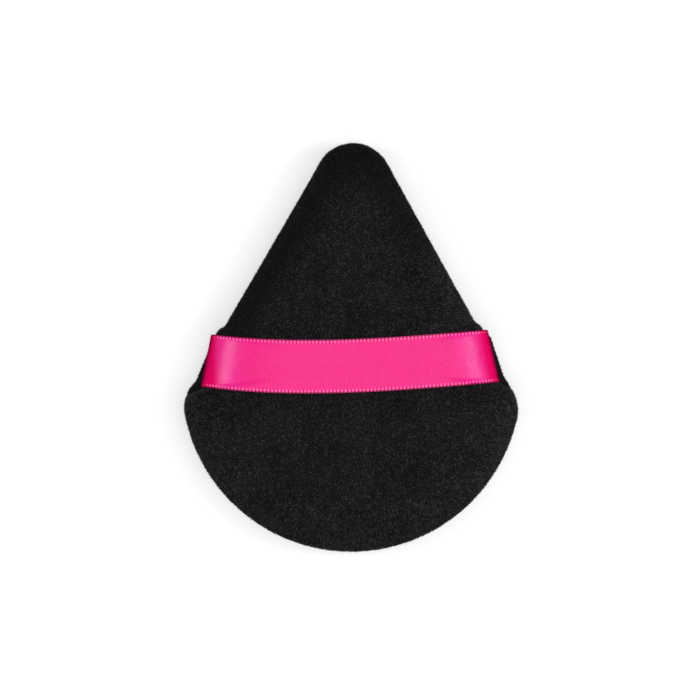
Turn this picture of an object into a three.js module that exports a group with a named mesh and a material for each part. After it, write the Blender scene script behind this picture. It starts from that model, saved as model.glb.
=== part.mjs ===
// A powder puff: two velour covers sewn round a foam core, with a satin ribbon finger strap.
// It lies on its powder side. Millimetres, +Z up, +Y towards the narrow tip.
import * as THREE from "three";

// Outline of the pad, seen from above.
const PAD_WIDTH = 75;
const PAD_LENGTH = 92;
const TIP_RADIUS = 8.5;
const SHOULDER_RADIUS = 10;
const SHOULDER_HEIGHT = 32;

// Thickness of the pad and of its cloth. The back crown is flattened where the pad lies on it.
const FRONT_CROWN = 8.4;
const BACK_CROWN = 7.8;
const CROWN_Y = -4;
const REST_FLAT_DEPTH = 1.3;
const VELOUR_THICKNESS = 1.6;
const SEAM_ALLOWANCE = 4;
const ALLOWANCE_THICKNESS = 1;

// Finger strap. RIBBON_Y is the middle of its sewn ends, and it sags from there towards the round end.
const RIBBON_WIDTH = 12;
const RIBBON_THICKNESS = 0.3;
const RIBBON_TUCK = 5;
const RIBBON_Y = -2.3;
const RIBBON_SAG = 1.9;

// The strap presses the velour under it flat, and the pad swells up again beside it.
const PRESSED_VELOUR = 0.5;
const PRESS_FADE = 5;

// How far the ribbon ends push the seam out and draw it in, how soon it comes back beside them,
// and the share of that pull which the back cover follows.
const RIBBON_FLARE = 1.2;
const RIBBON_NIP = 2;
const PULL_FADE = 2.8;
const BACK_PULL = 0.4;

// Sewing.
const THREAD_DIAMETER = 0.35;
const STITCH_LENGTH = 3;
const SEAM_LINE = 1.2;
const BASTING_LINE = 2.6;
const TURNING_GAP = 30;
const STITCH_RISE = 0.25;
const OPENING_MARGIN = 4;
const OPENING_FADE = 5;

const CLEARANCE = 0.3;

// Detail of the surfaces: steps along the round end, columns across a face, and steps and rows of the strap.
// Rows of a face sag with the strap and straighten out beyond it. Inner loops are shares of the core's outline.
const BASE_STEPS = 20;
const FACE_COLUMNS = 16;
const ROW_FADE = 16;
const RIBBON_STEPS = 13;
const RIBBON_ROWS = 4;
const FINE = 4;
const INNER_SHARES = [1, 0.85, 0.62, 0.34];

// Heights that follow from the sizes above.
const SEAM_Z = BACK_CROWN - REST_FLAT_DEPTH;
const STRAP_PRESS = VELOUR_THICKNESS - PRESSED_VELOUR;
const HALF_SEAM_GAP = Math.max(RIBBON_THICKNESS, THREAD_DIAMETER) / 2 + CLEARANCE;
const HALF_SEAM = HALF_SEAM_GAP + ALLOWANCE_THICKNESS;
const CORE_INSET = VELOUR_THICKNESS + SEAM_ALLOWANCE + CLEARANCE;
const CENTRE = new THREE.Vector2(0, CROWN_Y);
const RIGHT = new THREE.Vector2(1, 0);

const { lerp, smoothstep } = THREE.MathUtils;

// The straight-cut ribbon ends push the seam out at their upper corners and draw it in at their lower ones.
function pulled(point, share = 1) {
  const up = point.y - RIBBON_Y;
  const beside = Math.abs(up) - RIBBON_WIDTH / 2;
  const shift = lerp(-RIBBON_NIP, RIBBON_FLARE, up / RIBBON_WIDTH + 0.5);
  const kept = share * (1 - smoothstep(beside, 0, PULL_FADE));
  return new THREE.Vector2(point.x + Math.sign(point.x) * shift * kept, point.y);
}

// Half the gap between the allowances, which opens for the ribbon ends and for the closing stitch.
function halfGap(point) {
  const near = (beside) => 1 - smoothstep(beside, OPENING_MARGIN, OPENING_MARGIN + OPENING_FADE);
  const ribbon = near(Math.abs(point.y - RIBBON_Y) - RIBBON_WIDTH / 2);
  const closing = point.y < RIBBON_Y ? near(Math.abs(point.x) - TURNING_GAP / 2) : 0;
  return lerp(CLEARANCE / 2, HALF_SEAM_GAP, Math.max(ribbon, closing));
}

// The arcs and straight flanks of the pad's outline, drawn in by inset, anticlockwise from the lower left.
function outlineCurves(inset) {
  const tipY = PAD_LENGTH / 2 - TIP_RADIUS;
  const shoulderX = PAD_WIDTH / 2 - SHOULDER_RADIUS;
  const shoulderY = SHOULDER_HEIGHT - PAD_LENGTH / 2;
  const rise = SHOULDER_HEIGHT - SHOULDER_RADIUS;
  const baseRadius = SHOULDER_RADIUS + (shoulderX ** 2 + rise ** 2) / (2 * rise);
  const baseY = baseRadius - PAD_LENGTH / 2;
  const below = Math.atan2(baseY - shoulderY, shoulderX);
  const reach = Math.hypot(shoulderX, tipY - shoulderY);
  const flank = Math.acos((TIP_RADIUS - SHOULDER_RADIUS) / reach) - Math.atan2(tipY - shoulderY, shoulderX);
  const arc = (x, y, radius, from, to) => new THREE.EllipseCurve(x, y, radius - inset, radius - inset, from, to);
  const base = arc(0, baseY, baseRadius, Math.PI + below, 2 * Math.PI - below);
  const rightShoulder = arc(shoulderX, shoulderY, SHOULDER_RADIUS, -below, flank);
  const tip = arc(0, tipY, TIP_RADIUS, flank, Math.PI - flank);
  const leftShoulder = arc(-shoulderX, shoulderY, SHOULDER_RADIUS, Math.PI - flank, Math.PI + below);
  const low = rightShoulder.getPoint(1);
  const high = tip.getPoint(0);
  const pullEnd = RIBBON_Y + RIBBON_WIDTH / 2 + PULL_FADE;
  const middle = low.clone().lerp(high, (pullEnd - low.y) / (high.y - low.y));
  const line = (from, to) => new THREE.LineCurve(from, to);
  const mirrored = (point) => new THREE.Vector2(-point.x, point.y);
  return [
    { curve: base, steps: BASE_STEPS },
    { curve: rightShoulder, steps: 7 },
    { curve: line(low, middle), steps: 10 },
    { curve: line(middle, high), steps: 5 },
    { curve: tip, steps: 8 },
    { curve: line(mirrored(high), mirrored(middle)), steps: 5 },
    { curve: line(mirrored(middle), mirrored(low)), steps: 10 },
    { curve: leftShoulder, steps: 7 },
  ];
}

// The outline as a closed loop of points; loops with the same detail match point for point.
function outline(inset, detail = 1, pullShare = 1) {
  return outlineCurves(inset).flatMap(({ curve, steps }) => {
    const points = curve.getPoints(steps * detail).slice(0, -1);
    return points.map((point) => pulled(point, pullShare));
  });
}

// Distance from a point to a loop along a direction.
function reachOf(loop, from, direction) {
  let farthest = 0;
  loop.forEach((a, i) => {
    const b = loop[(i + 1) % loop.length];
    const edge = b.clone().sub(a);
    const cross = direction.cross(edge);
    if (Math.abs(cross) < 1e-9) return;
    const gap = a.clone().sub(from);
    const along = gap.cross(edge) / cross;
    const share = gap.cross(direction) / cross;
    if (share >= 0 && share <= 1) farthest = Math.max(farthest, along);
  });
  return farthest;
}

// Half the width of a loop at a height.
const halfWidth = (loop, y) => reachOf(loop, new THREE.Vector2(0, y), RIGHT);

// Height of a cushion's crown over its edge, as a share of the crown, at a point inside its loop.
function crownShare(loop, point) {
  const offset = point.clone().sub(CENTRE);
  const distance = offset.length();
  if (distance < 1e-9) return 1;
  const share = distance / reachOf(loop, CENTRE, offset.divideScalar(distance));
  return Math.sqrt(Math.max(0, 1 - share ** 4));
}

// How far the strap's pressure holds at a point: fully under the strap, and fading out beside it.
const strapReach = halfWidth(outline(0, FINE), RIBBON_Y);
function pressedShare(point) {
  const along = Math.min(1, Math.abs(point.x) / strapReach);
  const middle = RIBBON_Y - RIBBON_SAG * (1 - along ** 2);
  const beside = Math.abs(point.y - middle) - RIBBON_WIDTH / 2;
  return 1 - smoothstep(beside, CLEARANCE, CLEARANCE + PRESS_FADE);
}

const lift = (point, z) => new THREE.Vector3(point.x, point.y, z);
const level = (loop, z) => loop.map((point) => lift(point, z));
const scaled = (loop, share) => loop.map((point) => point.clone().sub(CENTRE).multiplyScalar(share).add(CENTRE));
const numbers = (start, count) => Array.from({ length: count }, (_, i) => start + i);

function surface(points, index) {
  const geometry = new THREE.BufferGeometry().setFromPoints(points).setIndex(index);
  geometry.computeVertexNormals();
  return geometry;
}

// Triangles along a chain of matching loops of point numbers, closed by a fan to the last point.
function chain(loops, lastPoint) {
  const index = [];
  const end = loops[loops.length - 1];
  end.forEach((_, i) => {
    const next = (i + 1) % end.length;
    loops.slice(1).forEach((far, k) => {
      const near = loops[k];
      index.push(near[i], far[i], far[next], near[i], far[next], near[next]);
    });
    index.push(lastPoint, end[next], end[i]);
  });
  return index;
}

// A closed skin from one end point, over a chain of loops, to the other end point.
function skin(firstPoint, loops, lastPoint) {
  const count = loops[0].length;
  const points = [firstPoint, ...loops.flat(), lastPoint];
  const rings = loops.map((_, k) => numbers(1 + k * count, count));
  const cap = rings[0].flatMap((number, i) => [0, number, rings[0][(i + 1) % count]]);
  return surface(points, [...cap, ...chain(rings, points.length - 1)]);
}

// The outer face of a cover: points of its edge in loop order, then rows across it from the round end to the tip.
// Side is 1 over the seam and -1 under it.
function outerFace(crown, side) {
  const edge = outline(0, 1, side > 0 ? 1 : BACK_PULL);
  const press = side > 0 ? STRAP_PRESS : 0;
  const bottom = BASE_STEPS / 2;
  const rows = edge.length / 2;
  const points = edge.map((point) => lift(point, SEAM_Z + side * halfGap(point)));
  for (let row = 1; row < rows; row++) {
    const end = edge[bottom + row];
    const beside = Math.abs(end.y - RIBBON_Y) - RIBBON_WIDTH / 2;
    const sag = RIBBON_SAG * (1 - smoothstep(beside, 0, ROW_FADE));
    for (let column = 1; column < FACE_COLUMNS; column++) {
      const along = Math.sin(Math.PI * (column / FACE_COLUMNS - 0.5));
      const point = new THREE.Vector2(end.x * along, end.y - sag * (1 - along ** 2));
      const gap = halfGap(point);
      const height = gap + (crown - gap - press * pressedShare(point)) * crownShare(edge, point);
      points.push(lift(point, Math.max(0, SEAM_Z + side * height)));
    }
  }
  const at = (row, column) => {
    if (row === 0 || row === rows) return bottom + row;
    if (column === 0) return (bottom - row + edge.length) % edge.length;
    if (column === FACE_COLUMNS) return bottom + row;
    return edge.length + (row - 1) * (FACE_COLUMNS - 1) + column - 1;
  };
  const index = [];
  for (let row = 0; row < rows; row++) {
    for (let column = 0; column < FACE_COLUMNS; column++) {
      const corner = at(row, column);
      const opposite = at(row + 1, column + 1);
      if (row > 0) index.push(corner, at(row, column + 1), opposite);
      if (row < rows - 1) index.push(corner, opposite, at(row + 1, column));
    }
  }
  return { points, index };
}

// The seam allowance of a cover, from the fold of its edge inwards and back over its top.
function allowance(side) {
  const edge = outline(VELOUR_THICKNESS + SEAM_ALLOWANCE);
  return [
    edge.map((point) => lift(point, SEAM_Z + side * halfGap(point))),
    level(edge, SEAM_Z + side * HALF_SEAM),
    level(innerEdge, SEAM_Z + side * HALF_SEAM),
  ];
}

// Loops of the inner face of a cover, from the fold of its edge to near its crown.
const innerEdge = outline(VELOUR_THICKNESS);
const innerEdgeFine = outline(VELOUR_THICKNESS, FINE);
const coreEdge = outline(CORE_INSET);
const coreLoops = INNER_SHARES.map((share) => scaled(coreEdge, share));
const innerLoops = [outline((VELOUR_THICKNESS + CORE_INSET) / 2), ...coreLoops];

// A point of the inner face of a cover, or drop short of it. The back one is level over the rest face.
function innerPoint(crown, side, point, drop) {
  const rise = HALF_SEAM + (crown - VELOUR_THICKNESS - HALF_SEAM) * crownShare(innerEdgeFine, point);
  const height = side > 0 ? rise : Math.min(rise, SEAM_Z - VELOUR_THICKNESS);
  return lift(point, SEAM_Z + side * (height - drop));
}
const innerFace = (crown, side, loop, drop) => loop.map((point) => innerPoint(crown, side, point, drop));

// A velour cover: its outer face, the allowance turned in under it, and its inner face.
function cover(crown, side) {
  const face = outerFace(crown, side);
  const inner = innerLoops.map((loop) => innerFace(crown, side, loop, 0));
  const loops = [...allowance(side), ...inner];
  const count = loops[0].length;
  const points = [...face.points, ...loops.flat(), innerPoint(crown, side, CENTRE, 0)];
  const rings = [numbers(0, count), ...loops.map((_, k) => numbers(face.points.length + k * count, count))];
  const index = [...face.index, ...chain(rings, points.length - 1)];
  return surface(points, side > 0 ? index : index.reverse());
}

function spongeCore() {
  const top = coreLoops.map((loop) => innerFace(FRONT_CROWN, 1, loop, CLEARANCE)).reverse();
  const bottom = coreLoops.map((loop) => innerFace(BACK_CROWN, -1, loop, CLEARANCE));
  const topPole = innerPoint(FRONT_CROWN, 1, CENTRE, CLEARANCE);
  return skin(topPole, [...top, ...bottom], innerPoint(BACK_CROWN, -1, CENTRE, CLEARANCE));
}

// One face of the ribbon, y being where it is sewn: over the pad, round the edge and in between the allowances.
function ribbonLine(y, outset, seamSide) {
  const loop = outline(-outset, FINE);
  const reach = halfWidth(loop, y);
  const crown = FRONT_CROWN - STRAP_PRESS + outset;
  const over = numbers(-RIBBON_STEPS, 2 * RIBBON_STEPS + 1).map((step) => {
    const along = Math.sin((Math.PI / 2) * (step / RIBBON_STEPS));
    const point = new THREE.Vector2(reach * along, y - RIBBON_SAG * (1 - along ** 2));
    const share = Math.abs(step) < RIBBON_STEPS ? crownShare(loop, point) : 0;
    return lift(point, SEAM_Z + HALF_SEAM_GAP + (crown - HALF_SEAM_GAP) * share);
  });
  const seamZ = SEAM_Z + (seamSide * RIBBON_THICKNESS) / 2;
  const end = halfWidth(outline(0, FINE), y) - RIBBON_TUCK;
  return [
    new THREE.Vector3(-end, y, seamZ),
    new THREE.Vector3(-reach, y, seamZ),
    ...over,
    new THREE.Vector3(reach, y, seamZ),
    new THREE.Vector3(end, y, seamZ),
  ];
}

function ribbonStrap() {
  const places = numbers(0, RIBBON_ROWS + 1).map((row) => RIBBON_Y + RIBBON_WIDTH * (row / RIBBON_ROWS - 0.5));
  const over = places.map((y) => ribbonLine(y, CLEARANCE + RIBBON_THICKNESS, -1));
  const under = places.map((y) => ribbonLine(y, CLEARANCE, 1)).reverse();
  const lines = [...over, ...under];
  const sections = over[0].map((_, i) => lines.map((line) => line[i]));
  const middle = (section) =>
    section.reduce((sum, point) => sum.add(point), new THREE.Vector3()).divideScalar(section.length);
  return skin(middle(sections[0]), sections, middle(sections[sections.length - 1]));
}

// A thread along a chain of points, with square sections.
function thread(points) {
  const up = new THREE.Vector3(0, 0, 1);
  const sections = points.map((point, i) => {
    const before = points[Math.max(i - 1, 0)];
    const after = points[Math.min(i + 1, points.length - 1)];
    const along = after.clone().sub(before).normalize();
    const side = along.clone().cross(up).normalize();
    const top = side.clone().cross(along);
    return [0, 1, 2, 3].map((k) => {
      const angle = (k * Math.PI) / 2;
      const offset = side.clone().multiplyScalar(Math.cos(angle)).addScaledVector(top, Math.sin(angle));
      return point.clone().addScaledVector(offset, THREAD_DIAMETER / 2);
    });
  });
  return skin(points[0].clone(), sections, points[points.length - 1].clone());
}

// A line parallel to the pad's edge: its length, the middle of its round end and a place along it.
function seamPath(inset) {
  const path = new THREE.CurvePath();
  outlineCurves(inset).forEach(({ curve }) => path.add(curve));
  const length = path.getLength();
  const roundEnd = path.curves[0].getLength() / 2;
  const place = (distance) => pulled(path.getPointAt((distance / length) % 1));
  return { length, roundEnd, place };
}

// A row of stitches: each dips at the needle holes and stands up between them.
function stitchRow(path, from, to, z, side) {
  const stitches = Math.max(2, Math.round((to - from) / STITCH_LENGTH));
  return numbers(0, 2 * stitches + 1).map((i) =>
    lift(path.place(from + ((to - from) * i) / (2 * stitches)), z + side * (i % 2 ? STITCH_RISE : 0)),
  );
}

// The machine seam runs from one end of the turning gap right round to the other.
function machineThread(side) {
  const path = seamPath(VELOUR_THICKNESS + SEAM_LINE);
  const start = path.roundEnd + TURNING_GAP / 2;
  const z = SEAM_Z + side * (HALF_SEAM + CLEARANCE + THREAD_DIAMETER / 2);
  return thread(stitchRow(path, start, start + path.length - TURNING_GAP, z, side));
}

// The hand stitch crosses from one allowance to the other along the turning gap.
function closingThread() {
  const path = seamPath(VELOUR_THICKNESS + SEAM_LINE);
  const edge = seamPath(VELOUR_THICKNESS + SEAM_LINE / 2);
  const stitches = Math.round(TURNING_GAP / STITCH_LENGTH);
  return thread(
    numbers(0, 2 * stitches + 1).map((i) => {
      const fromMiddle = TURNING_GAP * (i / (2 * stitches) - 0.5);
      const line = i % 2 ? edge : path;
      return lift(line.place(line.roundEnd + fromMiddle), SEAM_Z);
    }),
  );
}

// A short row across a ribbon end, on the front allowance.
function bastingThread(side) {
  const edge = outline(VELOUR_THICKNESS + BASTING_LINE, FINE);
  const z = SEAM_Z + HALF_SEAM + CLEARANCE + THREAD_DIAMETER / 2;
  const stitches = Math.max(2, Math.round(RIBBON_WIDTH / STITCH_LENGTH));
  return thread(
    numbers(0, 2 * stitches + 1).map((i) => {
      const y = RIBBON_Y + RIBBON_WIDTH * (i / (2 * stitches) - 0.5);
      return new THREE.Vector3(side * halfWidth(edge, y), y, z + (i % 2 ? STITCH_RISE : 0));
    }),
  );
}

const velour = new THREE.MeshStandardMaterial({ color: 0x1c1a1d, roughness: 0.95 });
const foam = new THREE.MeshStandardMaterial({ color: 0xefe9dd, roughness: 0.9 });
const satin = new THREE.MeshStandardMaterial({ color: 0xf73e8a, roughness: 0.4 });
const cotton = new THREE.MeshStandardMaterial({ color: 0x19181a, roughness: 0.8 });

const puff = new THREE.Group();
function add(name, geometry, material) {
  const mesh = new THREE.Mesh(geometry, material);
  mesh.name = name;
  puff.add(mesh);
}

add("front_cover", cover(FRONT_CROWN, 1), velour);
add("back_cover", cover(BACK_CROWN, -1), velour);
add("sponge_core", spongeCore(), foam);
add("ribbon_strap", ribbonStrap(), satin);
add("needle_thread", machineThread(1), cotton);
add("bobbin_thread", machineThread(-1), cotton);
add("closing_thread", closingThread(), cotton);
add("left_basting_thread", bastingThread(-1), cotton);
add("right_basting_thread", bastingThread(1), cotton);

export default puff;
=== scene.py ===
"""A powder puff on its powder side: velour covers with their pile, foam core, satin strap and threads."""
import math

import bpy
import numpy as np
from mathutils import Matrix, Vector


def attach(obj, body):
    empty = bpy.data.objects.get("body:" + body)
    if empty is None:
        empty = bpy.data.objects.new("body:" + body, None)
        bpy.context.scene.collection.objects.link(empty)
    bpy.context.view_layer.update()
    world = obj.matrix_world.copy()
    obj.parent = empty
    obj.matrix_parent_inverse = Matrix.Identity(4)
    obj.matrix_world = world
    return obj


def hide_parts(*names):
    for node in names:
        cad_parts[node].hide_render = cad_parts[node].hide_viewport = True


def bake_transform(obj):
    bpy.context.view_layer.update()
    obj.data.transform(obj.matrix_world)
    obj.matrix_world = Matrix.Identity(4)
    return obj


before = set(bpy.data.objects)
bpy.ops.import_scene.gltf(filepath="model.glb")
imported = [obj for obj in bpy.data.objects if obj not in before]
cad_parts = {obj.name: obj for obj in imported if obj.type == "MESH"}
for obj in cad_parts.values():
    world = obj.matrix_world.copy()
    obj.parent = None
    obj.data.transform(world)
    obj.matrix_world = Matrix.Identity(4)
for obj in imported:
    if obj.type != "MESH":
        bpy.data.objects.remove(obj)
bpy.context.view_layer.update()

MM = 0.001
TINY = 1e-9

# Outline of the pad, seen from above, and the points on each stretch of it.
PAD_WIDTH = 75 * MM
PAD_LENGTH = 92 * MM
TIP_RADIUS = 8.5 * MM
SHOULDER_RADIUS = 10 * MM
SHOULDER_HEIGHT = 32 * MM
BASE_STEPS = 160
SHOULDER_STEPS = 32
FLANK_STEPS = 144
TIP_STEPS = 64

# Thickness of the pad and of its cloth. The ground cloth lies CLOTH_INSET under the crown, below its pile.
SEAM_Z = 6.5 * MM
FRONT_CROWN = 8.4 * MM
BACK_CROWN = 7.8 * MM
CROWN_Y = -4 * MM
CROWN_POWER = 4
CENTRE = np.array((0.0, CROWN_Y))
CLOTH_INSET = 0.45 * MM
CLOTH_WALL = 1.4 * MM
CROWN_WALL = 1.2 * CLOTH_WALL
SEAM_ALLOWANCE = 4 * MM
HALF_SEAM = 1.3 * MM
HALF_SEAM_GAP = 0.1 * MM
CORE_GAP = 0.3 * MM
JUST_INSIDE = 0.999

# Puffing of the covers, on panels that are enlarged for it. They are held at the seam and under the strap.
PANEL_RINGS = 48
PUFF_SCALE = 20.0
PUFF_FRAMES = 20
PUFF_PRESSURE = 2.0
PUFF_CAP = 0.5 * MM
SEAM_HELD_RING = 0.94
STRAP_HELD_PRESS = 0.95
STRAP_HOLD = 0.9
CLOTH_SETTINGS = {
    "quality": 6,
    "mass": 0.3,
    "tension_stiffness": 20,
    "compression_stiffness": 20,
    "shear_stiffness": 8,
    "bending_stiffness": 0.6,
    "pin_stiffness": 1.0,
    "shrink_min": -0.02,
}

# Finger strap. RIBBON_Y is the middle of its sewn ends, and it sags from there towards the round end.
RIBBON_WIDTH = 12 * MM
RIBBON_THICKNESS = 0.3 * MM
RIBBON_Y = -2.5 * MM
RIBBON_SAG = 1.6 * MM
RIBBON_SKEW = 0.56 * MM
RIBBON_TILT = 0.029
RIBBON_LIE = 0.2 * MM
RIBBON_TUCK = 5 * MM
RIBBON_STEPS = (180, 24)
RIBBON_SHARP = math.radians(50)
LINE_STEPS = 1500
LINE_OVERRUN = 2 * MM

# Woven edges of the strap. The ribs stop SELVEDGE_END before the fold.
SELVEDGE_PITCH = 0.825 * MM
SELVEDGE_INSET = 0.5 * MM
SELVEDGE_END = 1.2 * MM
RIB_SIZES = {
    "Rib Width": 0.48 * MM,
    "Rib Length": 0.58 * MM,
    "Rib Height": 0.26 * MM,
    "Slant": 0.2,
}
RIB_UNEVEN = 0.3
RIB_SWELL = (0.75, 1.15)
RIB_GRAIN = 3000.0

# The strap presses the pad down under it, and the pad swells up again beside it.
STRAP_PRESS = 1.1 * MM
PRESS_FADE = 5 * MM
STRAP_CROWN = FRONT_CROWN - STRAP_PRESS

# How far the left and right ribbon ends reach out above and in below the pad's plain outline, and push and
# draw each cover's edge with them, how much narrower than the ribbon that stretch is on each side, and how
# far above and below it the edge comes back.
RIBBON_PULL = {
    "flares": (1.67 * MM, 1.53 * MM),
    "nips": (3.03 * MM, 2.37 * MM),
    "margin": 0.0,
    "fades": (1.2 * MM, 2.2 * MM),
}
FRONT_PULL = {**RIBBON_PULL, "flares": (1.1 * MM, 1.0 * MM), "fades": (2.0 * MM, 2.2 * MM)}
BACK_PULL = {
    "flares": (1.35 * MM, 2.2 * MM),
    "nips": (0.85 * MM, 0.5 * MM),
    "margin": 2 * MM,
    "fades": (3.0 * MM, 2.2 * MM),
}

# Velour pile. The cloth is bare under the strap's ends, and tufts are short under the strap and at the rim.
PILE_SIZES = {
    "Spacing": 0.22 * MM,
    "Length": 0.55 * MM,
    "Width": 0.3 * MM,
    "Nap": 0.45,
    "Lean": 0.5,
}
PILE_CROWDING = 1.4
TUFT_SIDES = 3
TUFT_SIZES = (0.7, 1.15)
LAY_SCALE = 480.0
LAY_STRENGTH = 2.8
STRAY_LEAN = 0.5
STRAY_TURN = 6.283
TABLE_GAP = 0.1 * MM
BARE_RING = 0.7
STRAP_COVERS = (0.485 * RIBBON_WIDTH, 0.51 * RIBBON_WIDTH)
STRAP_TRIM = 0.5
RIM_TRIM = 0.4
RIM_TRIM_RING = (0.9, 1.0)

# Shading of the tufts: the share of their own faces, the splay of the cloth's slope, and the nap's lie.
TUFT_SHADING = 0.3
TUFT_SPLAY = 1.8
TUFT_LIE = (-0.15, 0.12, 0)

# Painted shade: the pile is darker along the rim towards the upper left, and painted light makes it a little
# lighter along the rest of the rim.
SHADED_RIM_SIDE = (-0.47, 0.88)
SHADED_RIM_FACING = (0.2, 0.8)
SHADED_RIM_RING = (0.7, 0.92)
PAINTED_RIM_LIGHT = 0.25

# Tone of the velour: contrast and share of the nap, the tufts' own shades, and the painted shade that dims
# them.
PATCH_CONTRAST = 1.4
FLECK_CONTRAST = 1.8
PATCH_SHARE = 0.45
SHADE_POWER = 4.0
# Painted shade: each tuft darkens towards its root, down to this share of its tone.
PAINTED_ROOT_SHADE_LEVEL = 0.3
RIM_SHADE_ON_TUFTS = 0.6
RIM_SHADE_ON_PATCHES = 0.95

# Weave of the satin. Floats rise and fall over FLOAT_PICKS picks, slip from yarn to yarn, and shine on top.
WARP_PITCH = 0.12 * MM
PICK_PITCH = 0.12 * MM
FLOAT_PICKS = 5
FLOAT_RISES = (0.2, 2.0)
FLOAT_FALLS = (FLOAT_PICKS, FLOAT_PICKS - 1.6)
YARN_SLIP = 2.1
WEAR_SLIP = 3.0
WEAR_SCALE = 0.9
WEAR_SHOWS = (0.35, 0.65)
WORN_CONTRAST = 0.55
WEAVE_RELIEF = 0.06 * MM
FLOATS_SHINE = (0.4, 0.75)

# Tone of the satin: the shares of its weave, its single yarns, and cloudy patches.
WEAVE_SHARE = 0.8
YARN_SHARE = 0.1
CLOUD_SHARE = 0.25
CLOUD_SHIFT = -0.02
CLOUD_SCALE = 0.35

# Where the satin changes, in millimetres from its rim or from the fold at its end, as start and end.
WOVEN_EDGE = (0.95, 0.75)
# Painted shade along the ribbon's rim.
RIM_SHADE_REACH = (0.4, 0.15)
# Painted highlight: the satin pales to lilac pink over the bend.
HIGHLIGHT_PAINT_RISES = (4.4, 7.0)
HIGHLIGHT_PAINT_FADES = (13.0, 8.0)
# Painted shade: the satin and its ribs turn crimson past the bend, and darken into the fold.
SATIN_END_SHADE_REACH = (5.6, 3.0)
RIB_END_SHADE_REACH = (4.4, 2.8)
FOLD_SHADE_REACH = (3.0, 0.2)
SHINE_STARTS = (3.4, 5.6)

# How far each of those changes goes, painted shade and a painted highlight among them, and how they and the
# shine slant across the right and left end.
# Depth of the painted shade along the rim.
RIM_SHADE_DEPTH = 0.75
# Strength of the painted highlight over the bend.
HIGHLIGHT_PAINT_STRENGTH = 0.2
SATIN_END_SHADE_DEPTH = 0.9
RIB_END_SHADE_DEPTH = 0.95
FOLD_SHADE_DEPTH = 0.9
PAINT_AND_SHINE_SLANT = {1: 0.0, -1: 0.25}

# Colours. A pair is dark and light.
GROUND_COLOURS = ((0.003, 0.0027, 0.0032), (0.009, 0.008, 0.0092))
PILE_COLOURS = ((0.0025, 0.0022, 0.0027), (0.076, 0.069, 0.077))
SATIN_COLOURS = ((0.86, 0.001, 0.105), (1.0, 0.029, 0.35))
# Painted highlight colour over the bend.
HIGHLIGHT_PAINT_PINK = (1.0, 0.03, 0.5)
# Painted shade at the ribbon's ends: crimson past the bend, and the colour in the fold.
CRIMSON_END_SHADE = (0.9, 0.001, 0.12)
FOLD_SHADE = (0.2, 0.0, 0.03)
RIB_COLOURS = ((0.95, 0.11, 0.36), (1.0, 0.27, 0.55))
FOAM_COLOURS = ((0.62, 0.56, 0.46), (0.88, 0.83, 0.74))
THREAD_COLOURS = ((0.006, 0.006, 0.007), (0.03, 0.029, 0.031))
FLOOR_COLOURS = ((0.57, 0.57, 0.57), (0.6, 0.6, 0.6))

THREADS = ("needle_thread", "bobbin_thread", "closing_thread", "left_basting_thread", "right_basting_thread")
THREAD_TWIST = 9000.0

# Camera, over the pad. PIXEL is the width of one picture element at the seam.
PIXEL = 0.2259 * MM
PICTURE = 700
SENSOR = 36
CAMERA_HEIGHT = 0.9
CAMERA_ROLL = math.radians(0.6)
CAMERA_RANGE = 10
AIM = (-0.37 * MM, -0.56 * MM)

# Light and floor. A softbox has its place and width in metres, and its watts.
SOFTBOXES = {
    "overhead_softbox": ((0.28, -0.2, 1.27), 1.6, 12.8),
    "left_softbox": ((-0.6, 0.05, 0.54), 0.22, 1.75),
    "right_softbox": ((0.6, 0.05, 0.54), 0.22, 1.75),
}
WORLD_LIGHT = 0.22
FLOOR_HALF = 3.0
FLOOR_GRAIN = 3.0
FLOOR_GLOW = 0.5
FLOOR_FADE = (0.2, 1.0)


# Outline and crown


def smoothstep(low, high, values):
    t = np.clip((values - low) / (high - low), 0, 1)
    return t * t * (3 - 2 * t)


def pulled(points, flares, nips, margin, fades):
    """Outline points where the straight-cut ribbon ends push the seam out above and draw it in below."""
    left = points[:, 0] < 0
    flare = np.where(left, *flares)
    nip = np.where(left, *nips)
    up = points[:, 1] - RIBBON_Y - RIBBON_TILT * points[:, 0]
    beside = np.abs(up) + margin - RIBBON_WIDTH / 2
    shift = (flare + nip) * (up / RIBBON_WIDTH + 0.5) - nip
    kept = 1 - smoothstep(0, np.where(up > 0, *fades), beside)
    return points + np.column_stack((np.sign(points[:, 0]) * shift * kept, np.zeros(len(points))))


def arc(x, y, radius, start, end, count):
    angles = np.linspace(start, end, count, endpoint=False)
    return np.column_stack((x + radius * np.cos(angles), y + radius * np.sin(angles)))


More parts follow.
